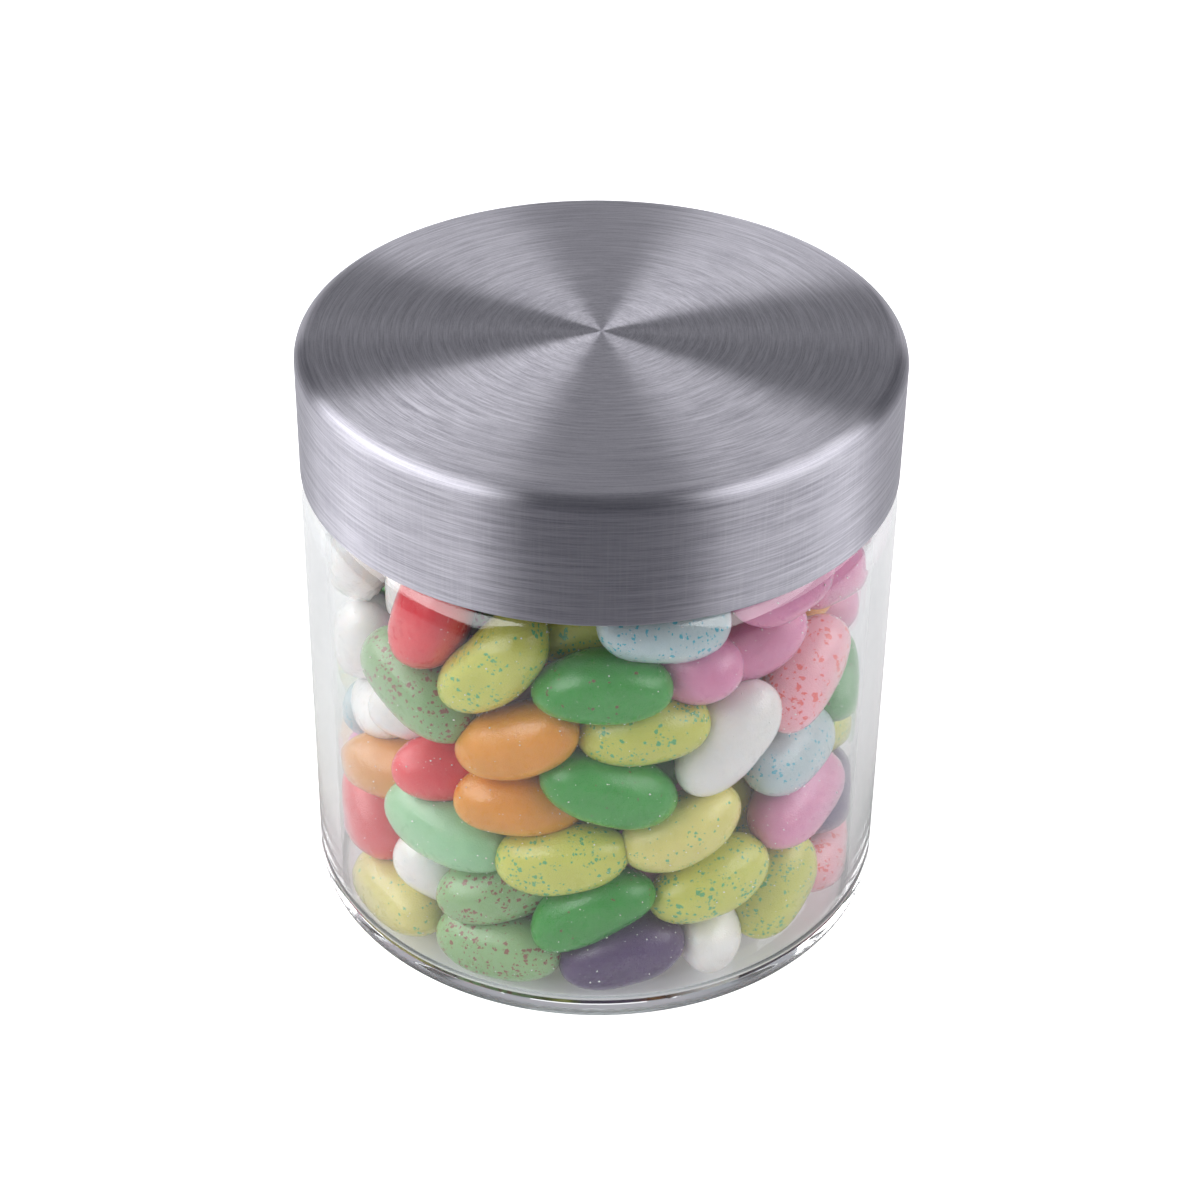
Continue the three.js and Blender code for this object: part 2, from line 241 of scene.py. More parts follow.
# Look of the beans: how much paler and deeper than their colour they get, how much of that is by
# bean and by place, and the sugar grains in their skin
CLOUDS = (0.22, 3)
CLOUD_RANGE = (0.35, 0.65)
SHARE_BY_BEAN = 0.6
SHARE_BY_PLACE = 0.4
SKIN_GRAINS = (3.2, 1)
SKIN_GRAIN_EDGE = (0.76, 0.80)
FINE_RELIEF = (4.5, 2)
BROAD_RELIEF = (0.45, 2)
DULL_PATCHES = (0.7, 3)
MIDDLE_RANGE = (0.3, 0.7)
PALER = 0.03
PALE = 0.9
DEEPER = 0.84
GRAIN_COLOUR = (0.85, 0.85, 0.82)
BEAN_BUMP = (0.4, 0.25 * MM)
FINE_RELIEF_SHARE = 0.6
BEAN_ROUGHNESS = (0.24, 0.36)
BEAN_SHADER = {
    "Subsurface Weight": 0.6,
    "Subsurface Radius": (1.0, 0.75, 0.6),
    "Subsurface Scale": 2.2 * MM,
    "IOR": 1.45,
    "Specular IOR Level": 0.24,
    "Coat Weight": 0.9,
    "Coat Roughness": 0.08,
}
SUGAR_PATCHES = (0.9, 2)
SUGAR_RANGE = (0.4, 0.6)
SUGAR_COLOURS = ((0.8, 0.79, 0.76), (0.95, 0.95, 0.94))
SUGAR_ROUGHNESS = (0.1, 0.3)

# Specks: the scale of their cells, how much coarser the cells are where more of them are filled,
# how full the emptiest and the fullest clusters are, the least and the largest size, how rare the
# large ones are, how ragged and how soft their edges are, and how strong their colour is
SPECK_SCALE = 2.1
SPECK_COARSER = 0.6
SPECK_CLOUDS = (0.28, 2)
SPECK_CLOUD_RANGE = (0.42, 0.62)
SPECK_CLUSTERS = (0.15, 2)
SPECK_SIZES = (0.2, 0.66)
SPECK_SIZE_POWER = 3
SPECK_RAGS = (3.4, 2)
SPECK_RAGGED = 0.26
SPECK_SOFT = 0.1
SPECK_STRENGTH = 0.85

# Look of the glass: it gets duller, and greyer by painted shade, between these heights and radii of
# its foot, and the painted shade is darker towards the left and right
GLASS_COLOUR = (0.978, 0.99, 0.992)
FOOT_FRONT_SHADE = (0.40, 0.45, 0.47)
FOOT_SIDE_SHADE = (0.055, 0.066, 0.072)
FOOT_SIDE_FROM = 10
FOOT_SIDE_TO = 24
HEEL_TOP = 3
HEEL_GREY = 1.6
HEEL_FROM = 37.6
HEEL_TO = 38.6
HEEL_ROUGHNESS = 0.3
GLASS_WAVES = (0.08, 2)
GLASS_BUMP = (0.3, 0.05 * MM)
GLASS_SHADER = {"Transmission Weight": 1, "IOR": 1.5}

# Look of the steel: its brushing in circles, fine and broad, each with its scale along the profile
# and round the axis, and the scratches, which run up its side
FINE_BRUSHING = (8, 7)
BROAD_BRUSHING = (2.4, 2)
BRUSHING_DETAIL = 3
FINE_BRUSHING_ROUGHNESS = 0.7
FINE_SHARE = 0.6
BRUSHING_RANGE = (0.38, 0.62)
SCRATCH_RANGE = (0.45, 0.8)
SCRATCH_SCALES = (3.2, 3.2, 0.12)
SCRATCH_SHARE = 0.25
STEEL_COLOURS = ((0.40, 0.39, 0.45), (0.68, 0.665, 0.73))
SCRATCH_COLOUR = (0.74, 0.73, 0.76)
STEEL_ROUGHNESS = (0.34, 0.46)
STEEL_BUMP = (0.35, 0.012 * MM)
STEEL_SHADER = {"Metallic": 1, "Anisotropic": 1, "Anisotropic Rotation": 0.25}

# The floor, in metres: its half width, how far it lies under the jar, and its glow, which is
# stronger where the camera sees it. Mirrored light also sees a painted bright reflection, a strip on
# each side of the jar, and mirrored light and light through glass see a painted dark reflection in
# front of it and painted shade round its foot. Each stretch of dark or shade is where it starts and
# ends, then how strong it is at each.
FLOOR_HALF = 3
FLOOR_DROP = 0.0003
FLOOR_SHADER = {
    "Base Color": (0.8, 0.8, 0.81, 1),
    "Roughness": 0.8,
    "Specular IOR Level": 0.1,
    "Emission Color": (1, 1, 1, 1),
}
FLOOR_GLOW = 0.1
SEEN_GLOW = 0.75
STRIP_FROM = 0.05
STRIP_TO = 0.075
LEFT_STRIP = 0.28
RIGHT_STRIP = 0.18
STRIP_FRONT = -0.04
STRIP_BACK = 0.04
STRIP_BACK_FULL = 0.015
NEAR_DARK = (-0.042, -0.06, 0, 0.45)
FAR_DARK = (-0.1, -0.155, 0, 1)
LOST_THROUGH_GLASS = 0.8
# Painted dark, for the dark reflection in front of the jar and the shade round its foot
PAINTED_DARK = (0.08, 0.08, 0.1, 1)
FOOT_SHADE_START = (0.036, 0.041, 0.7, 1)
FOOT_SHADE_END = (0.052, 0.044, 0, 1)
FOOT_SHADE_MIRRORED = 0.5
FOOT_SHADE_THROUGH = 0.2

# Soft lamps: degrees round the jar from the front, degrees up, and in metres how far, how wide
# and how high, with their glow
LAMPS = {
    "softbox_left": (-82, 37, 1.1, 1.72, 0.75, 3.5),
    "softbox_right": (78, 37, 1.1, 1.35, 0.75, 2.8),
    "light_behind": (180, 10, 1.0, 1.3, 0.34, 1.3),
    "light_above": (180, 55, 1.2, 0.4, 0.5, 0.9),
}
WORLD_COLOUR = (0.9, 0.92, 1, 1)
WORLD_STRENGTH = 0.16
WORLD_THROUGH_GLASS = 0.45
BOUNCES = 40
CLEAR_BOUNCES = 24


# Numbers from 0 to 1 that look random and are the same at each run
seed = 20731


def draw():
    global seed
    seed = (seed * 16807) % 2147483647
    return seed / 2147483647


def drawn_from(least_and_range):
    least, more = least_and_range
    return least + more * draw()


def unit(vectors):
    return vectors / np.linalg.norm(vectors, axis=-1, keepdims=True)


# The heap of beans


def front_bean(at, height, lean, turn, off, long):
    """A front bean's middle, the way its long axis points, its length and its width."""
    at, lean, turn = (math.radians(angle) for angle in (at, lean, turn))
    outwards = np.array([math.sin(at), -math.cos(at), 0])
    rightwards = np.array([math.cos(at), math.sin(at), 0])
    radius = INNER_RADIUS - CLEAR_OF_GLASS - BEAN_WIDTH / 2 - off
    axis = rightwards * math.cos(lean) * math.cos(turn) - outwards * math.sin(turn) * math.cos(lean)
    axis = unit(axis + np.array([0, 0, math.sin(lean)]))
    middle = outwards * radius + np.array([0, 0, height])
    return middle, axis, long, BEAN_WIDTH


def loose_bean():
    """A bean anywhere in the jar, at any angle."""
    a = 2 * math.pi * draw()
    r = (INNER_RADIUS - LOOSE_FROM_WALL) * math.sqrt(draw())
    z = FLOOR + LOOSE_FROM_ENDS + (HEAP_TOP - FLOOR - 2 * LOOSE_FROM_ENDS) * draw()
    up = 2 * draw() - 1
    round_angle = 2 * math.pi * draw()
    flat = math.sqrt(1 - up * up)
    middle = np.array([r * math.cos(a), r * math.sin(a), z])
    axis = np.array([flat * math.cos(round_angle), flat * math.sin(round_angle), up])
    long = BEAN_LENGTH * drawn_from(LOOSE_LENGTH)
    wide = BEAN_WIDTH * drawn_from(LOOSE_WIDTH)
    return middle, axis, long, wide


def room_at(z):
    """The radius that the beans have at a height: inside the wall, the shoulder, then the neck."""
    high = (z - INNER_SHOULDER_START + CLEAR_OF_GLASS) / INNER_SHOULDER_RISE
    low = (FLOOR + INNER_HEEL_RADIUS + CLEAR_OF_GLASS - z) / INNER_HEEL_RADIUS
    shoulder = (INNER_RADIUS - NECK_INNER_RADIUS) * (1 - np.sqrt(1 - np.clip(high, 0, 1) ** 2))
    heel = INNER_HEEL_RADIUS * (1 - np.sqrt(1 - np.clip(low, 0, 1) ** 2))
    return INNER_RADIUS - CLEAR_OF_GLASS - shoulder - heel


def wall_push(centre, radius):
    """How far each ball has to move to be inside the glass."""
    x, y, z = centre[..., 0], centre[..., 1], centre[..., 2]
    r = np.maximum(np.hypot(x, y), 1e-9)
    over = np.maximum(0, r + radius - room_at(z))
    under = np.maximum(0, HEAP_BOTTOM + radius - z)
    above = np.maximum(0, z + radius - HEAP_TOP)
    return np.stack([-x / r * over, -y / r * over, under - above], axis=-1)


def settle(middle, axis, long, wide, held):
    """The beans grow to full size while they push each other and the glass away."""
    home, home_axis = middle[:held].copy(), axis[:held].copy()
    for step in range(SETTLING_STEPS):
        grown = min(1, step / GROWING_STEPS)
        size = FIRST_SIZE + (1 - FIRST_SIZE) * grown
        along = BALLS * long[:, None] * size
        radius = BALL_SIZES * wide[:, None] * size
        centre = middle[:, None] + axis[:, None] * along[..., None]
        apart = np.linalg.norm(middle[:, None] - middle[None], axis=-1)
        reach = (long[:, None] + long[None]) / 2 * size
        i, j = np.nonzero(np.triu(apart <= reach, 1))
        between = centre[i][:, :, None] - centre[j][:, None]
        length = np.maximum(np.linalg.norm(between, axis=-1), 1e-9)
        overlap = np.maximum(0, radius[i][:, :, None] + radius[j][:, None] - length)
        push = between * (overlap / length / 2)[..., None]
        walls = 2 * wall_push(centre, radius)
        moves = walls.sum(1)
        turns = (walls * along[..., None]).sum(1)
        np.add.at(moves, i, push.sum((1, 2)))
        np.add.at(moves, j, -push.sum((1, 2)))
        np.add.at(turns, i, (push.sum(2) * along[i][..., None]).sum(1))
        np.add.at(turns, j, -(push.sum(1) * along[j][..., None]).sum(1))
        spread = (long * size)[:, None] ** 2 / TURN_RESISTANCE
        middle = middle + moves * PUSH
        axis = unit(axis + turns * PUSH / spread)
        middle[:held] += (home - middle[:held]) * HOLD
        axis[:held] = unit(axis[:held] + (home_axis - axis[:held]) * HOLD)
        if grown < 1:
            middle[held:, 2] -= SINK
    return middle, axis


def bean_heap():
    """All the beans: kind, middle, axis, side they bend to, how far, length and width."""
    beans = [front_bean(*place) for _, *place in FRONT_BEANS]
    beans += [loose_bean() for _ in range(LOOSE_BEANS)]
    middle, axis, long, wide = (np.array(column, float) for column in zip(*beans))
    middle, axis = settle(middle, axis, long, wide, len(FRONT_BEANS))
    bends, sags = [], []
    for along in axis:
        bend = np.array([draw() - 0.5, draw() - 0.5, draw() - 0.5])
        bends.append(unit(bend - bend.dot(along) * along))
        sags.append(LEAST_BEND + (MOST_BEND - LEAST_BEND) * draw())
    crowd = [kind for kind, (_, _, _, share) in KINDS.items() for _ in range(share)]
    kinds = [kind for kind, *_ in FRONT_BEANS]
    kinds += [crowd[int(draw() * len(crowd))] for _ in range(LOOSE_BEANS)]
    for index, kind in SEEN_BETWEEN.items():
        kinds[index] = kind
    return list(zip(kinds, middle, axis, bends, sags, long, wide))


def bean_surface(middle, axis, bend, bent, long, wide):
    """Points of one bean: an oval, bent and a little flat, with one end fatter, and soft lumps."""
    across = np.cross(axis, bend)
    taper = BEAN_TAPER * (draw() - 0.5)
    lump_phases = [2 * math.pi * draw() for _ in range(LUMP_DRAWS)]
    steps = np.arange(BEAN_RINGS + 2)
    t = -np.cos(np.pi * steps / (BEAN_RINGS + 1))[:, None]
    angle = (2 * np.pi * np.arange(BEAN_SIDES) / BEAN_SIDES)[None]
    oval = np.clip(1 - np.abs(t) ** BEAN_FULLNESS, 0, 1) ** (1 / BEAN_FULLNESS)
    lumps = 1
    for (high, around, along), phase in zip(LUMPS, lump_phases):
        lumps = lumps + high * np.sin(around * angle + along * t + phase)
    radius = PRESSED_WIDTH * wide / 2 * oval * (1 + taper * t) * lumps
    sag = -bent * long * (t * t - BOW_MIDDLE)
    points = middle + axis * (long / 2 * t)[..., None]
    points = points + bend * (sag + BEAN_FLATNESS * radius * np.cos(angle))[..., None]
    points = points + across * (radius * np.sin(angle))[..., None]
    return keep_inside(points)


def keep_inside(points):
    """Eases points that would pass the glass back to just inside it."""
    r = np.hypot(points[..., 0], points[..., 1])
    limit = room_at(points[..., 2]) + SKIN_PRESS
    over = r - (limit - SKIN_EASE)
    held_back = limit - SKIN_EASE * np.exp(-np.maximum(over, 0) / SKIN_EASE)
    eased = np.where(over > 0, held_back, r)
    points[..., :2] *= (eased / np.maximum(r, 1e-9))[..., None]
    points[..., 2] = np.clip(points[..., 2], HEAP_BOTTOM, HEAP_TOP)
    return points


def bean_faces(first):
    """Faces over the points of one bean, whose two ends are one point each."""
    last = first + BEAN_RINGS * BEAN_SIDES + 1
    faces = []
    for side in range(BEAN_SIDES):
        after = (side + 1) % BEAN_SIDES
        faces.append((first, first + 1 + after, first + 1 + side))
        faces.append((last, last - BEAN_SIDES + side, last - BEAN_SIDES + after))
        for ring in range(BEAN_RINGS - 1):
            low = first + 1 + ring * BEAN_SIDES
            high = low + BEAN_SIDES
            faces.append((low + side, low + after, high + after, high + side))
    return faces


def mesh_object(name, points, faces, material):
    mesh = bpy.data.meshes.new(name)
    mesh.from_pydata([tuple(p * MM) for p in np.asarray(points, float)], [], faces)
    mesh.shade_smooth()
    mesh.materials.append(material)
    piece = bpy.data.objects.new(name, mesh)
    bpy.context.scene.collection.objects.link(piece)
    return piece


def sugar_piece(surfaces):
    """The loose sugar that clings to the beans: tiny eight-sided grains."""
    points, faces = [], []
    for _ in range(SUGAR_GRAINS):
        surface = surfaces[int(draw() * len(surfaces))]
        ring = surface[2 + int(draw() * (BEAN_RINGS - 2))]
        middle = ring[int(draw() * BEAN_SIDES)]
        size = SUGAR_SIZE * drawn_from(GRAIN_SIZE)
        first = len(points)
        for side in range(3):
            step = np.eye(3)[side] * size * drawn_from(GRAIN_STRETCH)
            points += [middle - step, middle + step]
        for x, y, z in np.ndindex(2, 2, 2):
            corners = (first + x, first + 2 + y, first + 4 + z)
            faces.append(corners if (x + y + z) % 2 else corners[::-1])
    return mesh_object("sugar_grains", points, faces, sugar_material())


def shows_at_front(middle):
    x, y, _ = middle
    return math.hypot(x, y) > SHOWING_RADIUS and y < 0


def bean_pieces(heap):
    """One piece for each kind of bean, and one for the sugar on the front ones."""
    pieces, surfaces = [], []
    for kind in KINDS:
        points, faces, tones = [], [], []
        for _, middle, *shape in (bean for bean in heap if bean[0] == kind):
            faces += bean_faces(len(points))
            surface = bean_surface(middle, *shape)
            if shows_at_front(middle):
                surfaces.append(surface)
            points += [surface[0, 0], *surface[1:-1].reshape(-1, 3), surface[-1, 0]]
            tones += [draw()] * (BEAN_RINGS * BEAN_SIDES + 2)
        piece = mesh_object(f"beans_{kind}", points, faces, bean_material(kind))
        tone = piece.data.attributes.new("tone", "FLOAT", "POINT")
        tone.data.foreach_set("value", tones)
        pieces.append(piece)
    pieces.append(sugar_piece(surfaces))
    return pieces


# Turned shapes


def arc(x, z, across, up, a, b, steps):
    """Points of a quarter of an ellipse about (x, z), from angle a to angle b in quarter turns."""
    turns = [(a + (b - a) * i / steps) * math.pi / 2 for i in range(steps + 1)]
    return [(x + across * math.cos(t), z + up * math.sin(t)) for t in turns]


def line(start, end):
    """Points along a straight stretch, close together at its ends so that its shading is flat."""
    return [tuple(a + (b - a) * share for a, b in zip(start, end)) for share in LINE_SHARES]


def with_lines(stretches):
    """Joins the stretches of a profile by straight lines."""
    profile = list(stretches[0])
    for stretch in stretches[1:]:
        profile += line(profile[-1], stretch[0])
        profile += stretch
    return profile


def turned(name, profile, segments, material, relief=None):
    """A solid of revolution about Z from a profile that starts and ends on the axis."""
    ring = profile[1:-1]
    angles = [2 * math.pi * i / segments for i in range(segments)]
    points = [(0, 0, profile[0][1]), (0, 0, profile[-1][1])]
    for r, z in ring:
        for angle in angles:
            lift = relief(r, z, angle) if relief else 0
            points.append((r * math.cos(angle), r * math.sin(angle), z + lift))
    faces = []
    for i in range(segments):
        after = (i + 1) % segments
        faces.append((0, 2 + after, 2 + i))
        top = 2 + (len(ring) - 1) * segments
        faces.append((1, top + i, top + after))
        for row in range(len(ring) - 1):
            low = 2 + row * segments
            high = low + segments
            faces.append((low + i, low + after, high + after, high + i))
    return mesh_object(name, points, faces, material)


def jar_profile():
    """The glass: under the foot from the axis, up the outside, over the rim and down the inside."""
    foot_edge = JAR_RADIUS - HEEL_RADIUS
    rim_middle = JAR_HIGH.z - RIM_RADIUS
    tick_width = TICK_TO - TICK_FROM
    return with_lines([
        [(0, PUSH_UP)],
        [(foot_edge - FOOT_WIDTH - FOOT_SLOPE, PUSH_UP), (foot_edge - FOOT_WIDTH, 0)],
        [(TICK_FROM + tick_width * i / TICK_RINGS, 0) for i in range(TICK_RINGS + 1)],
        arc(foot_edge, HEEL_RADIUS, HEEL_RADIUS, HEEL_RADIUS, -1, 0, HEEL_STEPS),
        arc(
            NECK_RADIUS, SHOULDER_START,
            SHOULDER_INSET, SHOULDER_RISE, 0, SHOULDER_TURN, SHOULDER_STEPS,
        ),
        [(NECK_RADIUS, SHOULDER_END + NECK_START)],
        arc(NECK_RADIUS - RIM_RADIUS, rim_middle, RIM_RADIUS, RIM_RADIUS, 0, 1, RIM_STEPS),
        arc(NECK_INNER_RADIUS + RIM_RADIUS, rim_middle, RIM_RADIUS, RIM_RADIUS, 1, 2, RIM_STEPS),
        [(NECK_INNER_RADIUS, SHOULDER_END - NECK_START)],
        arc(
            NECK_INNER_RADIUS, INNER_SHOULDER_START,
            INNER_RADIUS - NECK_INNER_RADIUS, INNER_SHOULDER_RISE,
            INNER_SHOULDER_TURN, 0, INNER_SHOULDER_STEPS,
        ),
        arc(
            INNER_RADIUS - INNER_HEEL_RADIUS, FLOOR + INNER_HEEL_RADIUS,
            INNER_HEEL_RADIUS, INNER_HEEL_RADIUS, 0, -1, INNER_HEEL_STEPS,
        ),
        [(0, FLOOR + FLOOR_RISE)],
    ])


def foot_ticks(r, z, angle):
    """The small radial dashes pressed into the ring that the jar stands on."""
    if z > 0 or not TICK_FROM < r < TICK_TO:
        return 0
    return TICK_DEPTH * max(0, math.cos(TICKS * angle)) ** TICK_SHARPNESS


def dome(radius, top):
    """Points inwards over the lid's slightly raised top."""
    shares = [1 - i / DOME_STEPS for i in range(1, DOME_STEPS + 1)]
    return [(radius * share, top - CAP_DOME * share * share) for share in shares]


def cap_profile():
    """The cap: down its inside from the axis, round the lower edge, up the outside and in."""
    inside = CAP_RADIUS - CAP_WALL
    edge_top = CAP_HIGH.z - CAP_DOME
    edge_middle = edge_top - CAP_EDGE_RADIUS
    hem_middle = CAP_LOW.z + HEM_RADIUS
    inner_edge = CAP_EDGE_RADIUS - CAP_WALL
    return with_lines([
        [(0, edge_top - CAP_WALL)],
        arc(inside - inner_edge, edge_middle, inner_edge, inner_edge, 1, 0, INNER_EDGE_STEPS),
        arc(inside + HEM_RADIUS, hem_middle, HEM_RADIUS, HEM_RADIUS, -2, -1, HEM_STEPS),
        arc(CAP_RADIUS - HEM_RADIUS, hem_middle, HEM_RADIUS, HEM_RADIUS, -1, 0, HEM_STEPS),
        arc(
            CAP_RADIUS - CAP_EDGE_RADIUS, edge_middle,
            CAP_EDGE_RADIUS, CAP_EDGE_RADIUS, 0, CAP_EDGE_TURN, CAP_EDGE_STEPS,
        ),
        dome(CAP_RADIUS - CAP_EDGE_RADIUS, CAP_HIGH.z),
    ])


# Materials


def new_material(name):
    material = bpy.data.materials.new(name)
    material.use_nodes = True
    tree = material.node_tree
    shader = tree.nodes["Principled BSDF"]
    return material, tree, shader


def node(tree, kind, **settings):
    made = tree.nodes.new("ShaderNode" + kind)
    for key, value in settings.items():
        setattr(made, key, value)
    return made


def math_node(tree, operation, first, second=None):
    """A Math node over sockets or plain numbers."""
    made = node(tree, "Math", operation=operation)
    for slot, value in enumerate((first, second)):
        if value is None:
            continue
        if isinstance(value, (int, float)):
            made.inputs[slot].default_value = value
        else:
            tree.links.new(value, made.inputs[slot])
    return made.outputs[0]


def product(tree, first, *others):
    for other in others:
        first = math_node(tree, "MULTIPLY", first, other)
    return first


def set_sockets(shader, values):
    for name, value in values.items():
        shader.inputs[name].default_value = value


def add_bump(tree, shader, height, strength, depth, sockets=("Normal",)):
    bump = node(tree, "Bump")
    set_sockets(bump, {"Strength": strength, "Distance": depth})
    tree.links.new(height, bump.inputs["Height"])
    for socket in sockets:
        tree.links.new(bump.outputs[0], shader.inputs[socket])


def split(tree, vector):
    """The x, y and z of a vector."""
    parts = node(tree, "SeparateXYZ")
    tree.links.new(vector, parts.inputs[0])
    return parts.outputs


def noise(tree, vector, scale, detail=2, roughness=0.5):
    made = node(tree, "TexNoise")
    made.inputs["Scale"].default_value = scale
    made.inputs["Detail"].default_value = detail
    made.inputs["Roughness"].default_value = roughness
    tree.links.new(vector, made.inputs["Vector"])
    return made.outputs["Fac"]


def spread_over(tree, value, low, high, to_low=0, to_high=1):
    """Carries the stretch from low to high over to the stretch from to_low to to_high."""
    made = node(tree, "MapRange")
    set_sockets(made, {"From Min": low, "From Max": high, "To Min": to_low, "To Max": to_high})
    tree.links.new(value, made.inputs["Value"])
    return made.outputs["Result"]


def mixed(tree, share, first, second):
    """A Mix node over colours, each a socket or a plain colour."""
    made = node(tree, "Mix", data_type="RGBA")
    for socket, value in zip((made.inputs[0], made.inputs[6], made.inputs[7]), (share, first, second)):
        if isinstance(value, tuple):
            socket.default_value = (*value, 1)
        elif isinstance(value, (int, float)):
            socket.default_value = value
        else:
            tree.links.new(value, socket)
    return made.outputs[2]


def millimetres(tree):
    """The object's coordinates in millimetres."""
    place = node(tree, "TexCoord")
    scaled = node(tree, "VectorMath", operation="SCALE")
    scaled.inputs["Scale"].default_value = 1 / MM
    tree.links.new(place.outputs["Object"], scaled.inputs[0])
    return scaled.outputs[0]


def bean_material(kind):
    """A sugar shell: tinted, a little see-through, softly glossy, and specked where the kind is."""
    colour, speck_colour, filled, _ = KINDS[kind]
    material, tree, shader = new_material(f"bean_{kind}")
    place = millimetres(tree)
    tone = node(tree, "Attribute", attribute_name="tone").outputs["Fac"]
    pale = tuple(part + PALER * (PALE - part) for part in colour)
    deep = tuple(part * DEEPER for part in colour)
    by_bean = spread_over(tree, tone, 0, 1, 0, SHARE_BY_BEAN)
    by_place = spread_over(tree, noise(tree, place, *CLOUDS), *CLOUD_RANGE, 0, SHARE_BY_PLACE)
    skin = mixed(tree, math_node(tree, "ADD", by_bean, by_place), deep, pale)
    if filled > 0:
        skin = mixed(tree, speck_mask(tree, place, filled), skin, speck_colour)
    grains = spread_over(tree, noise(tree, place, *SKIN_GRAINS), *SKIN_GRAIN_EDGE)
    skin = mixed(tree, grains, skin, GRAIN_COLOUR)
    tree.links.new(skin, shader.inputs["Base Color"])
    fine = product(tree, noise(tree, place, *FINE_RELIEF), FINE_RELIEF_SHARE)
    relief = math_node(tree, "ADD", noise(tree, place, *BROAD_RELIEF), fine)
    add_bump(tree, shader, relief, *BEAN_BUMP, ("Normal", "Coat Normal"))
    dull = noise(tree, place, *DULL_PATCHES)
    rough = spread_over(tree, dull, *MIDDLE_RANGE, *BEAN_ROUGHNESS)
    tree.links.new(rough, shader.inputs["Roughness"])
    set_sockets(shader, BEAN_SHADER)
    return material


def sugar_material():
    """Clear white sugar crystals, some duller than others."""
    material, tree, shader = new_material("sugar_crystals")
    patches = noise(tree, millimetres(tree), *SUGAR_PATCHES)
    skin = mixed(tree, spread_over(tree, patches, *SUGAR_RANGE), *SUGAR_COLOURS)
    tree.links.new(skin, shader.inputs["Base Color"])
    rough = spread_over(tree, patches, *SUGAR_RANGE, *SUGAR_ROUGHNESS)
    tree.links.new(rough, shader.inputs["Roughness"])
    return material


def speck_mask(tree, place, filled):
    """Ragged specks in clusters, few of them large: cells of which a drifting share is filled."""
    cells = node(tree, "TexVoronoi")
    cells.inputs["Scale"].default_value = SPECK_SCALE - SPECK_COARSER * filled
    tree.links.new(place, cells.inputs["Vector"])
    pick = node(tree, "SeparateColor")
    tree.links.new(cells.outputs["Color"], pick.inputs[0])
    fewest, most = (share * filled for share in SPECK_CLUSTERS)
    clouds = noise(tree, place, *SPECK_CLOUDS)
    clusters = spread_over(tree, clouds, *SPECK_CLOUD_RANGE, fewest, most)
    wanted = math_node(tree, "LESS_THAN", pick.outputs[0], clusters)
    drawn_size = math_node(tree, "POWER", pick.outputs[1], SPECK_SIZE_POWER)
    size = spread_over(tree, drawn_size, 0, 1, *SPECK_SIZES)
    rags = noise(tree, place, *SPECK_RAGS)
    ragged = spread_over(tree, rags, *MIDDLE_RANGE, -SPECK_RAGGED, SPECK_RAGGED)
    reach = math_node(tree, "ADD", size, ragged)
    inside = math_node(tree, "SUBTRACT", reach, cells.outputs["Distance"])
    return product(tree, wanted, spread_over(tree, inside, 0, SPECK_SOFT, 0, SPECK_STRENGTH))


def see_through(tree, surface, ray):
    """Lets one kind of ray straight through, so that lamps reach what is behind the glass."""
    path = node(tree, "LightPath")
    clear = node(tree, "BsdfTransparent")
    choice = node(tree, "MixShader")
    tree.links.new(path.outputs[ray], choice.inputs[0])
    tree.links.new(surface, choice.inputs[1])
    tree.links.new(clear.outputs[0], choice.inputs[2])
    return choice.outputs[0]


def glass_material():
    """Clear pressed glass, duller at its rounded foot and greyed there by painted shade, darkest
    towards the left and right, with a faint unevenness.
    """
    material, tree, shader = new_material("clear_glass")
    place = millimetres(tree)
    x, y, z = split(tree, place)
    low = spread_over(tree, z, HEEL_TOP, HEEL_GREY)
    heel = product(tree, low, spread_over(tree, from_axis(tree, x, y), HEEL_FROM, HEEL_TO))
    sideways = spread_over(tree, math_node(tree, "ABSOLUTE", x), FOOT_SIDE_FROM, FOOT_SIDE_TO)
    # Painted shade: grey at the front of the foot, nearly black towards the left and right
    painted_foot_shade = mixed(tree, sideways, FOOT_FRONT_SHADE, FOOT_SIDE_SHADE)
    tree.links.new(mixed(tree, heel, GLASS_COLOUR, painted_foot_shade), shader.inputs["Base Color"])
    tree.links.new(product(tree, heel, HEEL_ROUGHNESS), shader.inputs["Roughness"])
    add_bump(tree, shader, noise(tree, place, *GLASS_WAVES), *GLASS_BUMP)
    set_sockets(shader, GLASS_SHADER)
    surface = see_through(tree, shader.outputs[0], "Is Shadow Ray")
    surface = see_through(tree, surface, "Is Diffuse Ray")
    tree.links.new(surface, tree.nodes["Material Output"].inputs["Surface"])
    return material


def from_axis(tree, x, y):
    """The distance from the jar's axis."""
    squares = [product(tree, part, part) for part in (x, y)]
    return math_node(tree, "SQRT", math_node(tree, "ADD", *squares))


def round_the_axis(tree, place, along_scale, round_scale):
    """Coordinates whose marks run round the axis: how far along the profile, and the direction."""
    x, y, z = split(tree, place)
    radius = from_axis(tree, x, y)
    along = product(tree, math_node(tree, "SUBTRACT", z, radius), along_scale)
    joined = node(tree, "CombineXYZ")
    tree.links.new(along, joined.inputs[0])
    for slot, part in ((1, x), (2, y)):
        direction = math_node(tree, "DIVIDE", part, math_node(tree, "MAXIMUM", radius, 0.01))
        tree.links.new(product(tree, direction, round_scale), joined.inputs[slot])
    return joined.outputs[0]


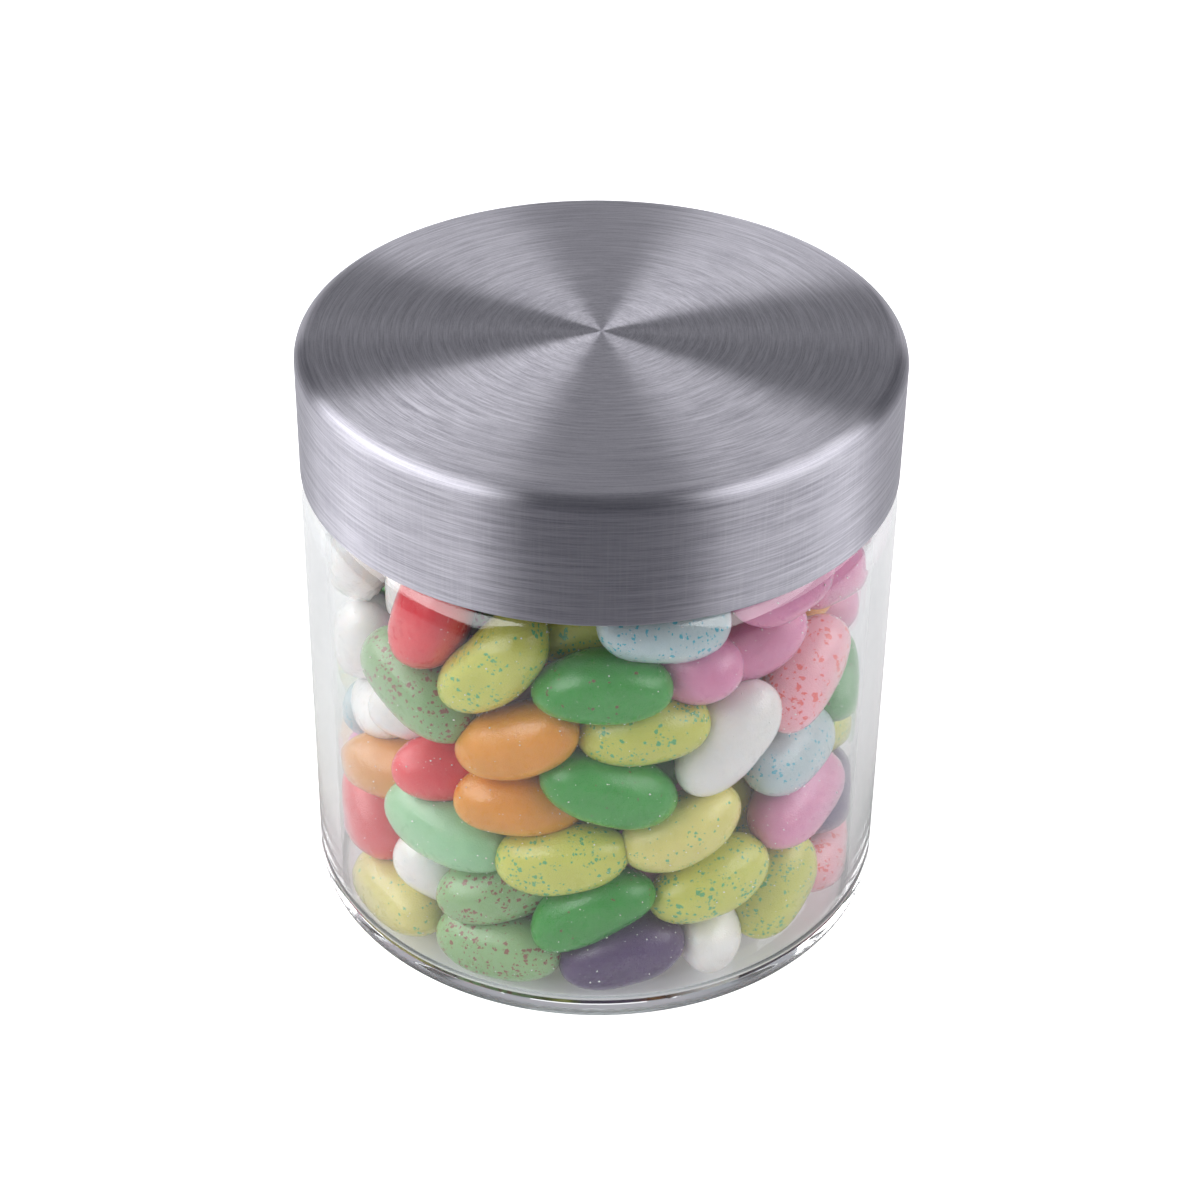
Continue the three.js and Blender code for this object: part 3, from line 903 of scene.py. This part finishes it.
def steel_material():
    """Stainless steel brushed in circles round its axis, on the top and on the side."""
    material, tree, shader = new_material("brushed_cap_steel")
    place = millimetres(tree)
    fine_place = round_the_axis(tree, place, *FINE_BRUSHING)
    fine = noise(tree, fine_place, 1, BRUSHING_DETAIL, FINE_BRUSHING_ROUGHNESS)
    broad = noise(tree, round_the_axis(tree, place, *BROAD_BRUSHING), 1, BRUSHING_DETAIL)
    cross = node(tree, "VectorMath", operation="MULTIPLY")
    cross.inputs[1].default_value = SCRATCH_SCALES
    tree.links.new(place, cross.inputs[0])
    scratches = noise(tree, cross.outputs[0], 1, 2)
    fine_part = product(tree, fine, FINE_SHARE)
    broad_part = product(tree, broad, 1 - FINE_SHARE)
    marks = spread_over(tree, math_node(tree, "ADD", fine_part, broad_part), *BRUSHING_RANGE)
    skin = mixed(tree, marks, *STEEL_COLOURS)
    scratched = spread_over(tree, scratches, *SCRATCH_RANGE, 0, SCRATCH_SHARE)
    skin = mixed(tree, scratched, skin, SCRATCH_COLOUR)
    tree.links.new(skin, shader.inputs["Base Color"])
    rough = spread_over(tree, fine, *MIDDLE_RANGE, *STEEL_ROUGHNESS)
    tree.links.new(rough, shader.inputs["Roughness"])
    relief = math_node(tree, "ADD", fine, product(tree, scratches, SCRATCH_SHARE))
    add_bump(tree, shader, relief, *STEEL_BUMP)
    tangent = node(tree, "Tangent", direction_type="RADIAL", axis="Z")
    tree.links.new(tangent.outputs[0], shader.inputs["Tangent"])
    set_sockets(shader, STEEL_SHADER)
    return material


def painted_strips_beside(tree, x, y):
    """The glow of the painted bright reflections: strips on the left and on the right of the jar,
    which only mirrored light sees.
    """
    left = spread_over(tree, x, -STRIP_FROM, -STRIP_TO, 0, LEFT_STRIP)
    right = spread_over(tree, x, STRIP_FROM, STRIP_TO, 0, RIGHT_STRIP)
    front_end = spread_over(tree, y, STRIP_FRONT, 0)
    back_end = spread_over(tree, y, STRIP_BACK, STRIP_BACK_FULL)
    return product(tree, math_node(tree, "ADD", left, right), front_end, back_end)


def painted_dark_in_front(tree, y, path):
    """How much of the painted dark reflection in front of the jar shows in mirrors, and a little of it
    through glass.
    """
    near = spread_over(tree, y, *NEAR_DARK)
    far = spread_over(tree, y, *FAR_DARK)
    lost = product(tree, path["Is Transmission Ray"], LOST_THROUGH_GLASS)
    return product(tree, math_node(tree, "MAXIMUM", near, far), math_node(tree, "SUBTRACT", 1, lost))


def shade_round_foot(tree, x, y, path):
    """How much of the shade on the floor round the foot shows in mirrors and through glass."""
    radius = from_axis(tree, x, y)
    inner_part = spread_over(tree, radius, *FOOT_SHADE_START)
    outer_part = spread_over(tree, radius, *FOOT_SHADE_END)
    in_mirrors = product(tree, path["Is Reflection Ray"], FOOT_SHADE_MIRRORED)
    through = product(tree, path["Is Transmission Ray"], FOOT_SHADE_THROUGH)
    return product(tree, inner_part, outer_part, math_node(tree, "ADD", in_mirrors, through))


def floor_material():
    """White paper that glows a little, with painted reflections: in mirrors brighter beside the jar
    and dark in front of it, and painted shade round its foot.
    """
    material, tree, shader = new_material("white_floor")
    set_sockets(shader, FLOOR_SHADER)
    path = node(tree, "LightPath").outputs
    x, y, _ = split(tree, node(tree, "TexCoord").outputs["Object"])
    seen_itself = math_node(tree, "MAXIMUM", path["Is Camera Ray"], path["Is Diffuse Ray"])
    mirrored = math_node(tree, "SUBTRACT", 1, seen_itself)
    seen = product(tree, path["Is Camera Ray"], SEEN_GLOW)
    # Painted bright reflection: the strips beside the jar glow only for mirrored light
    strips = product(tree, painted_strips_beside(tree, x, y), mirrored, path["Is Reflection Ray"])
    glow = math_node(tree, "ADD", seen, strips)
    tree.links.new(math_node(tree, "ADD", glow, FLOOR_GLOW), shader.inputs["Emission Strength"])
    # Painted dark reflection in front of the jar and painted shade round its foot, seen only by
    # mirrored light and light through glass
    front = painted_dark_in_front(tree, y, path)
    foot = shade_round_foot(tree, x, y, path)
    dark_share = product(tree, math_node(tree, "MAXIMUM", front, foot), mirrored)
    dark = node(tree, "Emission")
    dark.inputs["Color"].default_value = PAINTED_DARK
    choice = node(tree, "MixShader")
    tree.links.new(dark_share, choice.inputs[0])
    tree.links.new(shader.outputs[0], choice.inputs[1])
    tree.links.new(dark.outputs[0], choice.inputs[2])
    tree.links.new(choice.outputs[0], tree.nodes["Material Output"].inputs["Surface"])
    return material


# Stage


def add_floor():
    mesh = bpy.data.meshes.new("floor")
    corners = ((-1, -1), (1, -1), (1, 1), (-1, 1))
    points = [(x * FLOOR_HALF, y * FLOOR_HALF, -FLOOR_DROP) for x, y in corners]
    mesh.from_pydata(points, [], [(0, 1, 2, 3)])
    mesh.materials.append(floor_material())
    floor = bpy.data.objects.new("floor", mesh)
    bpy.context.scene.collection.objects.link(floor)


def add_softbox(name, azimuth, elevation, distance, width, height, glow):
    """A soft rectangular lamp aimed at the jar, at degrees round it from the front."""
    round_jar = math.radians(azimuth)
    up = math.radians(elevation)
    lamp = bpy.data.lights.new(name, "AREA")
    lamp.shape = "RECTANGLE"
    lamp.size = width
    lamp.size_y = height
    lamp.energy = glow * math.pi * width * height
    box = bpy.data.objects.new(name, lamp)
    direction = Vector((
        math.sin(round_jar) * math.cos(up), -math.cos(round_jar) * math.cos(up), math.sin(up),
    ))
    box.location = CAMERA_TARGET + direction * distance
    box.rotation_euler = direction.to_track_quat("Z", "Y").to_euler()
    bpy.context.scene.collection.objects.link(box)


def add_lights():
    world = bpy.data.worlds.new("studio")
    world.use_nodes = True
    tree = world.node_tree
    background = tree.nodes["Background"]
    background.inputs["Color"].default_value = WORLD_COLOUR
    through_glass = node(tree, "LightPath").outputs["Is Transmission Ray"]
    strength = spread_over(tree, through_glass, 0, 1, WORLD_STRENGTH, WORLD_THROUGH_GLASS)
    tree.links.new(strength, background.inputs["Strength"])
    bpy.context.scene.world = world
    for name, placing in LAMPS.items():
        add_softbox(name, *placing)


def add_camera():
    camera_data = bpy.data.cameras.new("camera")
    camera_data.sensor_width = SENSOR
    camera_data.lens = FOCAL_PIXELS / PHOTO_SIZE * SENSOR
    camera_data.shift_x = 0.5 - OPTICAL_CENTRE[0] / PHOTO_SIZE
    camera_data.shift_y = OPTICAL_CENTRE[1] / PHOTO_SIZE - 0.5
    camera_data.clip_start = CLIP_START
    camera = bpy.data.objects.new("camera", camera_data)
    elevation = math.radians(CAMERA_ELEVATION)
    back = Vector((0, -math.cos(elevation), math.sin(elevation)))
    turn = back.to_track_quat("Z", "Y").to_matrix().to_4x4()
    roll = Matrix.Rotation(math.radians(CAMERA_ROLL), 4, "Z")
    camera.matrix_world = Matrix.Translation(CAMERA_TARGET + back * CAMERA_DISTANCE) @ turn @ roll
    bpy.context.scene.collection.objects.link(camera)
    bpy.context.scene.camera = camera


def add_piece(piece, node_name):
    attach(piece, "root")
    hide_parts(node_name)


add_camera()
add_floor()
add_lights()
glass = turned("glass_body", jar_profile(), GLASS_SEGMENTS, glass_material(), foot_ticks)
add_piece(glass, "glass_jar")
cap = turned("cap_shell", cap_profile(), CAP_SEGMENTS, steel_material())
add_piece(cap, "steel_cap")
for beans in bean_pieces(bean_heap()):
    add_piece(beans, "jelly_beans")

scene = bpy.context.scene
scene.view_settings.view_transform = "Standard"
scene.cycles.max_bounces = BOUNCES
scene.cycles.glossy_bounces = BOUNCES
scene.cycles.transmission_bounces = BOUNCES
scene.cycles.transparent_max_bounces = CLEAR_BOUNCES
scene.cycles.caustics_reflective = False
scene.cycles.caustics_refractive = False
